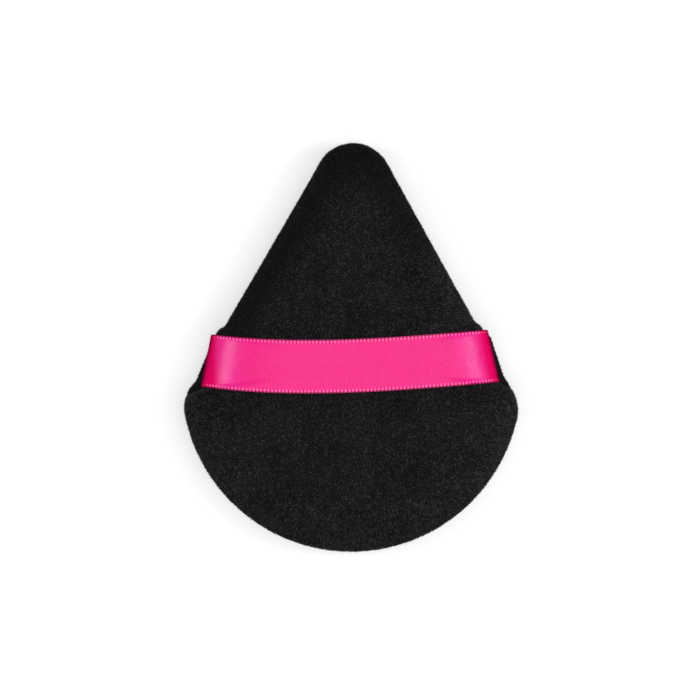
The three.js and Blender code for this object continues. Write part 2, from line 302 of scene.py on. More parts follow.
def outline(inset, pull=FRONT_PULL):
    """The pad's outline drawn in by inset, as a fine closed loop, anticlockwise from the lower left."""
    tip_y = PAD_LENGTH / 2 - TIP_RADIUS
    shoulder_x = PAD_WIDTH / 2 - SHOULDER_RADIUS
    shoulder_y = SHOULDER_HEIGHT - PAD_LENGTH / 2
    rise = SHOULDER_HEIGHT - SHOULDER_RADIUS
    base_radius = SHOULDER_RADIUS + (shoulder_x**2 + rise**2) / (2 * rise)
    base_y = base_radius - PAD_LENGTH / 2
    below = math.atan2(base_y - shoulder_y, shoulder_x)
    reach = math.hypot(shoulder_x, tip_y - shoulder_y)
    flank = math.acos((TIP_RADIUS - SHOULDER_RADIUS) / reach) - math.atan2(tip_y - shoulder_y, shoulder_x)
    shoulder = SHOULDER_RADIUS - inset
    base = arc(0, base_y, base_radius - inset, math.pi + below, 2 * math.pi - below, BASE_STEPS)
    right = arc(shoulder_x, shoulder_y, shoulder, -below, flank, SHOULDER_STEPS)
    tip = arc(0, tip_y, TIP_RADIUS - inset, flank, math.pi - flank, TIP_STEPS)
    left = arc(-shoulder_x, shoulder_y, shoulder, math.pi - flank, math.pi + below, SHOULDER_STEPS)
    out = np.array((math.cos(flank), math.sin(flank)))
    low = np.array((shoulder_x, shoulder_y)) + shoulder * out
    high = np.array((0, tip_y)) + (TIP_RADIUS - inset) * out
    climb = np.linspace(0, 1, FLANK_STEPS, endpoint=False)[:, None]
    right_flank = low + climb * (high - low)
    left_flank = (high + climb * (low - high)) * (-1, 1)
    return pulled(np.concatenate((base, right, right_flank, tip, left_flank, left)), **pull)


def path_lengths(path):
    """The way along a path up to each of its points."""
    return np.concatenate(([0], np.cumsum(np.linalg.norm(np.diff(path, axis=0), axis=1))))


def along_path(path, places):
    """Points of a path at places along its length."""
    lengths = path_lengths(path)
    return np.column_stack([np.interp(places, lengths, column) for column in path.T])


def along_loop(loop, turns):
    """Points of a closed loop at shares of its length."""
    closed = np.vstack((loop, loop[:1]))
    return along_path(closed, turns * path_lengths(closed)[-1])


def crossing(loop, y):
    """Half the width of a loop at a height, on its right side."""
    right = loop[loop[:, 0] > PAD_WIDTH / 4]
    return float(np.interp(y, right[:, 1], right[:, 0]))


RIBBON_REACH = crossing(outline(0), RIBBON_Y)


def crown_profile(share):
    """Height over a cushion's edge, as a share of its crown, at shares of the way out to the edge."""
    return np.sqrt(np.clip(1 - share**CROWN_POWER, 0, 1))


def crown_share(loop, points):
    """Height of a cushion's crown over its edge, as a share of the crown, at points inside its loop."""
    spokes = loop - CENTRE
    angles = np.arctan2(spokes[:, 1], spokes[:, 0])
    offsets = points - CENTRE
    turns = np.arctan2(offsets[:, 1], offsets[:, 0])
    reach = np.interp(turns, angles, np.linalg.norm(spokes, axis=1), period=2 * math.pi)
    return crown_profile(np.linalg.norm(offsets, axis=1) / reach)


def hollow_height(crown, share):
    """Height over the seam of a cover's inner face, at shares of its crown."""
    return HALF_SEAM + (crown - CROWN_WALL - HALF_SEAM) * share


def ribbon_middle(x):
    """The strap's middle line: it tilts a little and sags towards the round end, most on the left."""
    out = x / RIBBON_REACH
    return RIBBON_Y + RIBBON_TILT * x - (RIBBON_SAG - RIBBON_SKEW * out) * (1 - out**2)


def off_strap(xy):
    """Distance of points from the strap's middle line."""
    return np.abs(xy[:, 1] - ribbon_middle(xy[:, 0]))


# Meshes


def new_piece(name, vertices, faces, material):
    mesh = bpy.data.meshes.new(name)
    mesh.from_pydata([tuple(vertex) for vertex in vertices], [], faces)
    mesh.validate()
    mesh.update()
    mesh.polygons.foreach_set("use_smooth", [True] * len(mesh.polygons))
    piece = bpy.data.objects.new(name, mesh)
    bpy.context.scene.collection.objects.link(piece)
    mesh.materials.append(material)
    return piece


def store(mesh, label, values):
    """Keeps a number or a vector for each point of a mesh."""
    kind, field = ("FLOAT", "value") if values.ndim == 1 else ("FLOAT_VECTOR", "vector")
    attribute = mesh.attributes.new(label, kind, "POINT")
    attribute.data.foreach_set(field, values.astype(np.float32).ravel())


def panel_grid():
    """A square grid bent into a disc: its vertices' shares of radius and turn, its quads, and its rim."""
    half = PANEL_RINGS
    side = 2 * half + 1
    rings, turns = [], []
    for j in range(-half, half + 1):
        for i in range(-half, half + 1):
            ring = max(abs(i), abs(j))
            rings.append(ring / half)
            if ring == 0:
                turns.append(0.0)
            elif j == -ring:
                turns.append((i + ring) / (8 * ring))
            elif i == ring:
                turns.append((3 * ring + j) / (8 * ring))
            elif j == ring:
                turns.append((5 * ring - i) / (8 * ring))
            else:
                turns.append((7 * ring - j) / (8 * ring))
    quads = []
    for row in range(2 * half):
        for column in range(2 * half):
            first = row * side + column
            quads.append((first, first + 1, first + side + 1, first + side))
    rings, turns = np.array(rings), np.array(turns)
    rim = sorted(np.flatnonzero(rings == 1), key=lambda vertex: turns[vertex])
    return rings, turns, quads, [int(vertex) for vertex in rim]


RING, TURN, QUADS, RIM = panel_grid()
DOME = np.sin(RING * math.pi / 2)


def spread_over(loop, shares):
    """Grid vertices at shares of the way from the centre to a loop."""
    return CENTRE + shares[:, None] * (along_loop(loop, TURN) - CENTRE)


def both_faces():
    """Quads of a panel, and of a second one under it that faces the other way."""
    return list(QUADS) + [tuple(len(RING) + vertex for vertex in reversed(quad)) for quad in QUADS]


def puffed(points, held, pressure):
    """A panel blown up by cloth simulation where it isn't held, no point moved further than PUFF_CAP."""
    mesh = bpy.data.meshes.new("panel_sim")
    mesh.from_pydata([tuple(point) for point in points * PUFF_SCALE], [], QUADS)
    panel = bpy.data.objects.new("panel_sim", mesh)
    scene = bpy.context.scene
    scene.collection.objects.link(panel)
    group = panel.vertex_groups.new(name="held")
    for index in np.flatnonzero(held > 0):
        group.add([int(index)], float(held[index]), "REPLACE")
    cloth = panel.modifiers.new("cloth", "CLOTH")
    for setting, value in CLOTH_SETTINGS.items():
        setattr(cloth.settings, setting, value)
    cloth.settings.vertex_group_mass = "held"
    cloth.settings.use_pressure = True
    cloth.settings.uniform_pressure_force = pressure
    cloth.settings.effector_weights.gravity = 0
    cloth.point_cache.frame_start = 1
    cloth.point_cache.frame_end = PUFF_FRAMES
    for step in range(1, PUFF_FRAMES + 1):
        scene.frame_set(step)
    done = panel.evaluated_get(bpy.context.evaluated_depsgraph_get()).to_mesh()
    moved = np.empty(len(points) * 3)
    done.vertices.foreach_get("co", moved)
    moved = moved.reshape(-1, 3) / PUFF_SCALE - points
    bpy.data.objects.remove(panel)
    scene.frame_set(1)
    length = np.linalg.norm(moved, axis=1, keepdims=True)
    return points + moved * np.minimum(1, PUFF_CAP / np.maximum(length, TINY))


def outer_face(xy, side, crown):
    """The ground cloth of a cover: crowned, pressed down under the strap, and puffed."""
    crowned = crown_profile(DOME)
    height = HALF_SEAM_GAP + (crown - CLOTH_INSET - HALF_SEAM_GAP) * crowned
    pressed = np.zeros(len(xy))
    if side > 0:
        pressed = 1 - smoothstep(0, PRESS_FADE, off_strap(xy) - RIBBON_WIDTH / 2)
        height -= STRAP_PRESS * pressed * crowned
    face = np.column_stack((xy, SEAM_Z + side * height))
    held = np.maximum((RING > SEAM_HELD_RING) * 1.0, STRAP_HOLD * (pressed > STRAP_HELD_PRESS))
    face = puffed(face, held, PUFF_PRESSURE * side)
    if side < 0:
        face[:, 2] = np.maximum(face[:, 2], CLOTH_INSET)
    return face


def inner_face(side, crown, pull):
    """The face of a cover that lies round the filling."""
    edge = outline(CLOTH_WALL, pull)
    xy = spread_over(edge, DOME * JUST_INSIDE)
    face = np.column_stack((xy, SEAM_Z + side * hollow_height(crown, crown_share(edge, xy))))
    if side < 0:
        face[:, 2] = np.maximum(face[:, 2], CLOTH_WALL)
    return face


def mark_pile(mesh, xy, side):
    """Marks where pile grows on a cover's outer face, how short it is trimmed, and its painted rim shade and
    light.
    """
    under_strap = np.zeros(len(xy))
    if side > 0:
        under_strap = 1 - smoothstep(*STRAP_COVERS, off_strap(xy))
    pile = 1 - under_strap * (RING > BARE_RING)
    trim = 1 - np.maximum(RIM_TRIM * smoothstep(*RIM_TRIM_RING, RING), STRAP_TRIM * under_strap)
    away = (xy - CENTRE) / np.maximum(np.linalg.norm(xy - CENTRE, axis=1, keepdims=True), MM)
    # Painted shade along the rim on the upper left side, and a little painted light along the rest of the
    # rim.
    facing = smoothstep(*SHADED_RIM_FACING, away @ SHADED_RIM_SIDE)
    opened = smoothstep(*SHADED_RIM_RING, DOME) * ((1 + PAINTED_RIM_LIGHT) * facing - PAINTED_RIM_LIGHT)
    for label, outside, elsewhere in (("pile", pile, 0.0), ("trim", trim, 1.0), ("opened", opened, 0.0)):
        values = np.full(len(mesh.vertices), elsewhere)
        values[: len(xy)] = outside
        store(mesh, label, values)


def cover(name, side, crown, material):
    """A velour cover: outer face, turned-in seam allowance, and inner face. Side is 1 over the seam."""
    pull = FRONT_PULL if side > 0 else BACK_PULL
    xy = spread_over(outline(0, pull), DOME)
    fold = along_loop(outline(CLOTH_WALL + SEAM_ALLOWANCE, pull), TURN[RIM])
    low_fold = np.column_stack((fold, np.full(len(fold), SEAM_Z + side * HALF_SEAM_GAP)))
    high_fold = np.column_stack((fold, np.full(len(fold), SEAM_Z + side * HALF_SEAM)))
    vertices = np.vstack((outer_face(xy, side, crown), inner_face(side, crown, pull), low_fold, high_fold))
    count = len(xy)
    low_start = 2 * count
    high_start = low_start + len(RIM)
    chain = [
        RIM,
        range(low_start, high_start),
        range(high_start, high_start + len(RIM)),
        [count + vertex for vertex in RIM],
    ]
    faces = both_faces()
    for first, second in zip(chain, chain[1:]):
        for i in range(len(RIM)):
            after = (i + 1) % len(RIM)
            faces.append((first[i], second[i], second[after], first[after]))
    if side < 0:
        faces = [tuple(reversed(face)) for face in faces]
    piece = new_piece(name, vertices, faces, material)
    mark_pile(piece.data, xy, side)
    return piece


def foam_core(material):
    """The foam filling: a crowned pad inside the covers."""
    xy = spread_over(outline(CLOTH_WALL + SEAM_ALLOWANCE + CORE_GAP), RING)
    share = crown_share(outline(CLOTH_WALL), xy)
    top = SEAM_Z + hollow_height(FRONT_CROWN, share) - 2 * CORE_GAP
    bottom = np.maximum(SEAM_Z - hollow_height(BACK_CROWN, share), CLOTH_WALL) + 2 * CORE_GAP
    vertices = np.vstack((np.column_stack((xy, top)), np.column_stack((xy, bottom))))
    count = len(xy)
    faces = both_faces()
    for i, vertex in enumerate(RIM):
        after = RIM[(i + 1) % len(RIM)]
        faces.append((vertex, count + vertex, count + after, after))
    return new_piece("core_foam", vertices, faces, material)


# Ribbon


def ribbon_line(across, outset, seam_offset, samples):
    """A line along half the strap into the seam: points, the way to each, and its way left to the edge."""
    side = 1 if samples[1] > samples[0] else -1
    x = side * np.linspace(0, PAD_WIDTH / 2 + LINE_OVERRUN, LINE_STEPS)
    points = np.column_stack((x, ribbon_middle(x) + across * RIBBON_WIDTH))
    share = crown_share(outline(-outset, RIBBON_PULL), points)
    last = np.flatnonzero(share > 0)[-1] + 1
    z = SEAM_Z + HALF_SEAM_GAP + (STRAP_CROWN - HALF_SEAM_GAP + outset) * share[:last]
    path = np.column_stack((points[:last], z))
    edge = path[-1] * (1, 1, 0) + (0, 0, SEAM_Z + seam_offset)
    tuck = edge - (side * (RIBBON_TUCK + outset), 0, 0)
    path = np.vstack((path, edge, tuck))
    lengths = path_lengths(path)
    places = np.abs(samples) * lengths[-1]
    return along_path(path, places), places, lengths[last - 1] - places


def ribbon_faces(side):
    """Faces of half the strap: its upper and lower face, its two edges and its two ends."""
    along, across = RIBBON_STEPS

    def at(layer, w, a):
        return (layer * (across + 1) + w) * (along + 1) + a

    faces = []
    for w in range(across):
        for a in range(along):
            faces.append((at(0, w, a), at(0, w, a + 1), at(0, w + 1, a + 1), at(0, w + 1, a)))
            faces.append((at(1, w + 1, a), at(1, w + 1, a + 1), at(1, w, a + 1), at(1, w, a)))
    for a in range(along):
        faces.append((at(0, 0, a + 1), at(0, 0, a), at(1, 0, a), at(1, 0, a + 1)))
        faces.append((at(0, across, a), at(0, across, a + 1), at(1, across, a + 1), at(1, across, a)))
    for w in range(across):
        faces.append((at(0, w, along), at(0, w + 1, along), at(1, w + 1, along), at(1, w, along)))
        faces.append((at(0, w + 1, 0), at(0, w, 0), at(1, w, 0), at(1, w + 1, 0)))
    if side < 0:
        faces = [tuple(reversed(face)) for face in faces]
    return faces


def ribbon_half(name, side, material):
    """Half of the satin strap, a thin closed strip with its length and width in millimetres as UV."""
    along, across = RIBBON_STEPS
    shares = side * np.linspace(0, 1, along + 1)
    widths = np.linspace(-0.5, 0.5, across + 1)
    points, ways, to_edge = [], [], []
    for outset, seam_offset in (
        (RIBBON_LIE + RIBBON_THICKNESS, -RIBBON_THICKNESS / 2),
        (RIBBON_LIE, RIBBON_THICKNESS / 2),
    ):
        for width in widths:
            line, places, left = ribbon_line(width, outset, seam_offset, shares)
            points.append(line)
            ways.append(np.column_stack((side * places, np.full(along + 1, width * RIBBON_WIDTH))))
            to_edge.append(left)
    uv = np.vstack(ways)
    to_edge = np.concatenate(to_edge)
    half = new_piece(name, np.vstack(points), ribbon_faces(side), material)
    layer = half.data.uv_layers.new(name="strip")
    corners = np.empty(len(half.data.loops), dtype=np.int32)
    half.data.loops.foreach_get("vertex_index", corners)
    layer.data.foreach_set("uv", (uv[corners] / MM).astype(np.float32).ravel())
    store(half.data, "to_edge", to_edge / MM)
    # The distance to the bend is slanted on the left end, to slant its painted shade and highlight and its
    # shine.
    store(half.data, "to_bend", (to_edge + PAINT_AND_SHINE_SLANT[side] * uv[:, 1]) / MM)
    half.data.set_sharp_from_angle(angle=RIBBON_SHARP)
    return half


# Node trees


def socket(sockets, name):
    return next(item for item in sockets if item.name == name and item.enabled)


class Nodes:
    """A tree of nodes, built node by node."""

    def __init__(self, tree):
        self.tree = tree

    def put(self, target, value):
        if isinstance(value, bpy.types.NodeSocket):
            self.tree.links.new(value, target)
        else:
            target.default_value = value

    def add(self, kind, settings=(), **inputs):
        """A new node. An input's name is its socket's, with underscores for spaces."""
        node = self.tree.nodes.new(kind)
        for key, value in dict(settings).items():
            setattr(node, key, value)
        for label, value in inputs.items():
            self.put(socket(node.inputs, label.replace("_", " ")), value)
        return node

    def maths(self, operation, *values):
        node = self.tree.nodes.new("ShaderNodeMath")
        node.operation = operation
        for target, value in zip(node.inputs, values):
            self.put(target, value)
        return node.outputs[0]

    def plus(self, first, second):
        return self.maths("ADD", first, second)

    def times(self, first, second):
        return self.maths("MULTIPLY", first, second)

    def scaled(self, value, factor, offset):
        return self.maths("MULTIPLY_ADD", value, factor, offset)

    def spread(self, value, contrast):
        """A value that lies round a half, stretched and laid round zero."""
        return self.times(self.maths("SUBTRACT", value, 0.5), contrast)

    def split(self, vector):
        return self.add("ShaderNodeSeparateXYZ", Vector=vector).outputs


class GeometryTree(Nodes):
    """A Geometry Nodes tree with named inputs."""

    def __init__(self, name, inputs):
        super().__init__(bpy.data.node_groups.new(name, "GeometryNodeTree"))
        interface = self.tree.interface
        interface.new_socket("Geometry", in_out="INPUT", socket_type="NodeSocketGeometry")
        interface.new_socket("Geometry", in_out="OUTPUT", socket_type="NodeSocketGeometry")
        for label, kind in inputs.items():
            interface.new_socket(label, in_out="INPUT", socket_type="NodeSocket" + kind)
        self.start = self.tree.nodes.new("NodeGroupInput")
        self.end = self.tree.nodes.new("NodeGroupOutput")

    def given(self, name):
        return socket(self.start.outputs, name)

    def stored(self, name, kind="FLOAT"):
        return self.add("GeometryNodeInputNamedAttribute", {"data_type": kind}, Name=name).outputs[0]

    def keep(self, geometry, name, value, kind="FLOAT", domain="POINT"):
        """Geometry that has a value stored on it under a name."""
        settings = {"data_type": kind, "domain": domain}
        values = {"Geometry": geometry, "Name": name, "Value": value}
        return self.add("GeometryNodeStoreNamedAttribute", settings, **values).outputs[0]

    def position(self):
        return self.add("GeometryNodeInputPosition").outputs[0]

    def random(self, low, high, seed):
        node = self.add("FunctionNodeRandomValue", {"data_type": "FLOAT"}, Min=low, Max=high, Seed=seed)
        return node.outputs[1]

    def turned(self, rotation, **angles):
        """A rotation that is turned further about its own axes."""
        euler = self.add("ShaderNodeCombineXYZ", **angles).outputs[0]
        turn = self.add("FunctionNodeEulerToRotation", Euler=euler).outputs[0]
        settings = {"rotation_space": "LOCAL"}
        return self.add("FunctionNodeRotateRotation", settings, Rotation=rotation, Rotate_By=turn).outputs[0]

    def finish(self, geometry):
        """Smooth, real geometry with its material, as the export needs."""
        soft = self.add("GeometryNodeSetShadeSmooth", Geometry=geometry).outputs[0]
        real = self.add("GeometryNodeRealizeInstances", Geometry=soft).outputs[0]
        dressed = self.add("GeometryNodeSetMaterial", Geometry=real, Material=self.given("Material"))
        self.tree.links.new(dressed.outputs[0], self.end.inputs[0])
        return self.tree


def grown_on(name, carrier, tree, values):
    """What a tree makes of a carrier mesh, as a plain mesh piece."""
    maker = bpy.data.objects.new(name + "_maker", carrier)
    bpy.context.scene.collection.objects.link(maker)
    modifier = maker.modifiers.new("grow", "NODES")
    modifier.node_group = tree
    for item in tree.interface.items_tree:
        if item.in_out == "INPUT" and item.name in values:
            modifier[item.identifier] = values[item.name]
    bpy.context.view_layer.update()
    evaluated = maker.evaluated_get(bpy.context.evaluated_depsgraph_get())
    mesh = bpy.data.meshes.new_from_object(evaluated)
    mesh.name = name
    bpy.data.objects.remove(maker)
    piece = bpy.data.objects.new(name, mesh)
    bpy.context.scene.collection.objects.link(piece)
    return piece


# Velour pile


def pile_tree():
    """Tufts of velour pile on part of a cover: leaning in patches, and cut off level with the table."""
    nodes = GeometryTree(
        "velour_pile",
        {
            "Spacing": "Float",
            "Length": "Float",
            "Width": "Float",
            "Nap": "Float",
            "Lean": "Float",
            "From Y": "Float",
            "To Y": "Float",
            "Seed": "Int",
            "Material": "Material",
        },
    )
    given = nodes.given
    scatter = nodes.add(
        "GeometryNodeDistributePointsOnFaces",
        {"distribute_method": "POISSON"},
        Mesh=given("Geometry"),
        Distance_Min=given("Spacing"),
        Density_Max=nodes.maths("DIVIDE", PILE_CROWDING, nodes.maths("POWER", given("Spacing"), 2.0)),
        Density_Factor=nodes.stored("pile"),
        Seed=given("Seed"),
    ).outputs
    place = nodes.position()
    place_y = nodes.split(place)[1]
    below = nodes.maths("LESS_THAN", place_y, given("From Y"))
    above = nodes.maths("GREATER_THAN", place_y, given("To Y"))
    outside = nodes.maths("MAXIMUM", below, above)
    marked = nodes.keep(scatter["Points"], "ground", scatter["Normal"], "FLOAT_VECTOR")
    sown = nodes.add("GeometryNodeDeleteGeometry", Geometry=marked, Selection=outside)

    tuft = nodes.add(
        "GeometryNodeMeshCone",
        Vertices=TUFT_SIDES,
        Radius_Top=0.0,
        Radius_Bottom=nodes.times(given("Width"), 0.5),
        Depth=given("Length"),
    )
    tip = nodes.maths("DIVIDE", nodes.split(nodes.position())[2], given("Length"))
    tipped = nodes.keep(tuft.outputs["Mesh"], "tip", tip)

    lay = nodes.add("ShaderNodeTexNoise", Vector=place, Scale=LAY_SCALE, Detail=2.0).outputs["Color"]
    patches = nodes.add("FunctionNodeSeparateColor", Color=lay).outputs
    stray = nodes.add(
        "FunctionNodeRandomValue",
        {"data_type": "FLOAT_VECTOR"},
        Min=(-STRAY_LEAN, -STRAY_LEAN, 0.0),
        Max=(STRAY_LEAN, STRAY_LEAN, STRAY_TURN),
        Seed=given("Seed"),
    )
    strays = nodes.split(stray.outputs[0])
    tilts = []
    for channel, own in (("Red", strays[0]), ("Green", strays[1])):
        both = nodes.plus(nodes.spread(patches[channel], LAY_STRENGTH), own)
        tilts.append(nodes.times(both, given("Lean")))
    leaning = nodes.turned(scatter["Rotation"], X=nodes.plus(tilts[0], given("Nap")), Y=tilts[1])
    tufts = nodes.add(
        "GeometryNodeInstanceOnPoints",
        Points=sown.outputs[0],
        Instance=tipped,
        Rotation=nodes.turned(leaning, Z=strays[2]),
        Scale=nodes.times(nodes.random(*TUFT_SIZES, given("Seed")), nodes.stored("trim")),
    )
    shade = nodes.random(0.0, 1.0, nodes.plus(given("Seed"), 1.0))
    shaded = nodes.keep(tufts.outputs[0], "shade", shade, domain="INSTANCE")
    real = nodes.add("GeometryNodeRealizeInstances", Geometry=shaded)
    x, y, z = nodes.split(nodes.position())
    level = nodes.add("ShaderNodeCombineXYZ", X=x, Y=y, Z=nodes.maths("MAXIMUM", z, TABLE_GAP))
    cut = nodes.add("GeometryNodeSetPosition", Geometry=real.outputs[0], Position=level.outputs[0])
    return nodes.finish(cut.outputs[0])


def comb(piece):
    """Shades tufts mostly by the cloth's slope, which splays them apart, and by the lie of the nap."""
    mesh = piece.data
    ground = np.empty(len(mesh.vertices) * 3, dtype=np.float32)
    own = np.empty_like(ground)
    mesh.attributes["ground"].data.foreach_get("vector", ground)
    mesh.vertex_normals.foreach_get("vector", own)
    splayed = ground.reshape(-1, 3) * (TUFT_SPLAY, TUFT_SPLAY, 1) + TUFT_LIE
    mixed = (1 - TUFT_SHADING) * splayed + TUFT_SHADING * own.reshape(-1, 3)
    mesh.normals_split_custom_set_from_vertices(mixed / np.linalg.norm(mixed, axis=1, keepdims=True))
    return piece


# Woven edges


def selvedge_tree():
    """Weft turns along a ribbon edge: a slanted rib at each point, lying across the edge on its face."""
    nodes = GeometryTree(
        "selvedge_turns",
        {
            "Rib Width": "Float",
            "Rib Length": "Float",
            "Rib Height": "Float",
            "Slant": "Float",
            "Material": "Material",
        },
    )
    given = nodes.given
    places = nodes.add("GeometryNodeMeshToPoints", Mesh=given("Geometry"))
    level = nodes.add(
        "FunctionNodeAxesToRotation",
        {"primary_axis": "Z", "secondary_axis": "X"},
        Primary_Axis=nodes.stored("out", "FLOAT_VECTOR"),
        Secondary_Axis=nodes.stored("along", "FLOAT_VECTOR"),
    )
    slant = nodes.plus(given("Slant"), nodes.random(-RIB_UNEVEN, RIB_UNEVEN, seed=3))
    swell = nodes.random(*RIB_SWELL, seed=5)
    rib = nodes.add("GeometryNodeMeshUVSphere", Segments=8, Rings=5, Radius=0.5)
    rib_size = nodes.add(
        "ShaderNodeCombineXYZ",
        X=nodes.times(given("Rib Width"), swell),
        Y=given("Rib Length"),
        Z=nodes.times(given("Rib Height"), swell),
    )
    ribs = nodes.add(
        "GeometryNodeInstanceOnPoints",
        Points=places.outputs[0],
        Instance=rib.outputs["Mesh"],
        Rotation=nodes.turned(level.outputs[0], Z=slant),
        Scale=rib_size.outputs[0],
    )
    real = nodes.add("GeometryNodeRealizeInstances", Geometry=ribs.outputs[0])
    return nodes.finish(real.outputs[0])


def selvedge(name, side, tree, material):
    """Ribs along both edges of one half of the strap, up to where it turns into the seam."""
    outset = RIBBON_LIE + RIBBON_THICKNESS
    edge = 0.5 - SELVEDGE_INSET / RIBBON_WIDTH
    points, alongs, outs, ways_left = [], [], [], []
    for across in (-edge, edge):
        _, ends, to_edge = ribbon_line(across, outset, 0.0, side * np.array((0.0, 1.0)))
        places = np.arange(SELVEDGE_PITCH / 2, to_edge[0] - SELVEDGE_END, SELVEDGE_PITCH)
        line, _, left = ribbon_line(across, outset, 0.0, side * places / ends[1])
        along = np.gradient(line, axis=0)
        points.append(line)
        alongs.append(along)
        outs.append(np.cross(along, (0, side, 0)))
        ways_left.append(left)
    mesh = bpy.data.meshes.new(name + "_places")
    mesh.from_pydata([tuple(point) for point in np.vstack(points)], [], [])
    store(mesh, "along", np.vstack(alongs))
    store(mesh, "out", np.vstack(outs))
    store(mesh, "to_edge", np.concatenate(ways_left) / MM)
    return grown_on(name, mesh, tree, {**RIB_SIZES, "Material": material})


# Materials


class Shader(Nodes):
    """The nodes of a material, or of a group for materials."""

    def place(self):
        return self.add("ShaderNodeTexCoord").outputs["Object"]

    def stored(self, name):
        return self.add("ShaderNodeAttribute", {"attribute_name": name}).outputs["Fac"]

    def noise(self, vector, scale, detail):
        return self.add("ShaderNodeTexNoise", Vector=vector, Scale=scale, Detail=detail).outputs[0]

    def blend(self, share, dark, light):
        node = self.tree.nodes.new("ShaderNodeMix")
        node.data_type = "RGBA"
        self.put(socket(node.inputs, "Factor"), share)
        for label, colour in (("A", dark), ("B", light)):
            self.put(socket(node.inputs, label), (*colour, 1.0) if isinstance(colour, tuple) else colour)
        return socket(node.outputs, "Result")

    def ramp(self, value, low, high, bottom=0.0, top=1.0):
        """Bottom at low, top at high, and smooth between."""
        settings = {"interpolation_type": "SMOOTHSTEP"}
        limits = {"From_Min": low, "From_Max": high, "To_Min": bottom, "To_Max": top}
        return self.add("ShaderNodeMapRange", settings, Value=value, **limits).outputs[0]


def shader_group(name, inputs, output):
    """An empty group with named inputs, its inputs' sockets and its one output's socket."""
    tree = bpy.data.node_groups.new(name, "ShaderNodeTree")
    for label, kind in inputs.items():
        tree.interface.new_socket(label, in_out="INPUT", socket_type="NodeSocket" + kind)
    label, kind = output
    tree.interface.new_socket(label, in_out="OUTPUT", socket_type="NodeSocket" + kind)
    return Shader(tree), tree.nodes.new("NodeGroupInput").outputs, tree.nodes.new("NodeGroupOutput").inputs[0]


def new_material(name, **principled):
    material = bpy.data.materials.new(name)
    material.use_nodes = True
    nodes = Shader(material.node_tree)
    bsdf = material.node_tree.nodes["Principled BSDF"]
    for label, value in principled.items():
        nodes.put(bsdf.inputs[label.replace("_", " ")], value)
    return material, nodes, bsdf


def nap_group():
    """How light the nap of velour looks: patches that lie different ways, with fine flecks."""
    inputs = {"Vector": "Vector", "Patch Scale": "Float", "Fleck Scale": "Float"}
    nodes, given, out = shader_group("velour_nap", inputs, ("Tone", "Float"))
    patches = nodes.spread(nodes.noise(given["Vector"], given["Patch Scale"], detail=3.0), PATCH_CONTRAST)
    flecks = nodes.spread(nodes.noise(given["Vector"], given["Fleck Scale"], detail=2.0), FLECK_CONTRAST)
    tone = nodes.plus(nodes.plus(patches, flecks), 0.5)
    nodes.put(out, nodes.add("ShaderNodeClamp", Value=tone).outputs[0])
    return nodes.tree


def velour_cloth_material(nap):
    """The ground cloth at the roots of the pile."""
    material, nodes, bsdf = new_material("velour_cloth", Roughness=0.95, Specular_IOR_Level=0.1)
    scales = {"Patch_Scale": 90.0, "Fleck_Scale": 1500.0}
    tone = nodes.add("ShaderNodeGroup", {"node_tree": nap}, Vector=nodes.place(), **scales).outputs[0]
    nodes.put(bsdf.inputs["Base Color"], nodes.blend(tone, *GROUND_COLOURS))
    return material


def velour_pile_material(nap):
    """Black pile in patches: tufts have their own shades, under painted shade at the root and along one side
    of the rim.
    """
    material, nodes, bsdf = new_material(
        "velour_pile", Roughness=0.85, Specular_IOR_Level=0.12, Sheen_Weight=0.03, Sheen_Roughness=0.5
    )
    scales = {"Patch_Scale": 110.0, "Fleck_Scale": 700.0}
    patch = nodes.add("ShaderNodeGroup", {"node_tree": nap}, Vector=nodes.place(), **scales).outputs[0]
    # Painted shade along one side of the rim, and painted light along the rest, dims or lifts tufts and
    # patches.
    opened = nodes.stored("opened")
    shade = nodes.maths("POWER", nodes.stored("shade"), SHADE_POWER)
    bright = nodes.times(shade, nodes.scaled(opened, -RIM_SHADE_ON_TUFTS, 1.0))
    laid = nodes.times(patch, nodes.scaled(opened, -RIM_SHADE_ON_PATCHES, 1.0))
    own = nodes.scaled(laid, PATCH_SHARE, bright)
    # Painted shade: tufts darker towards the root.
    tone = nodes.times(own, nodes.scaled(nodes.stored("tip"), 1 - PAINTED_ROOT_SHADE_LEVEL, PAINTED_ROOT_SHADE_LEVEL))
    nodes.put(bsdf.inputs["Base Color"], nodes.blend(tone, *PILE_COLOURS))
    return material


def painted_shade_group():
    """Ribbon colour under painted shade: crimson over the bend at its end, and dark in the fold and along its
    rim.
    """
    inputs = {
        "Color": "Color",
        "To Bend": "Float",
        "Red From": "Float",
        "Red To": "Float",
        "Redness": "Float",
        "To Edge": "Float",
        "Rim": "Float",
    }
    nodes, given, out = shader_group("ribbon_fold", inputs, ("Color", "Color"))
    # Painted shade: crimson past the bend, and dark in the fold and along the rim.
    crimson_shade = nodes.ramp(given["To Bend"], given["Red From"], given["Red To"], top=given["Redness"])
    fold = nodes.ramp(given["To Edge"], *FOLD_SHADE_REACH, top=FOLD_SHADE_DEPTH)
    dark_shade = nodes.maths("MAXIMUM", fold, given["Rim"])
    nodes.put(out, nodes.blend(dark_shade, nodes.blend(crimson_shade, given["Color"], CRIMSON_END_SHADE), FOLD_SHADE))
    return nodes.tree


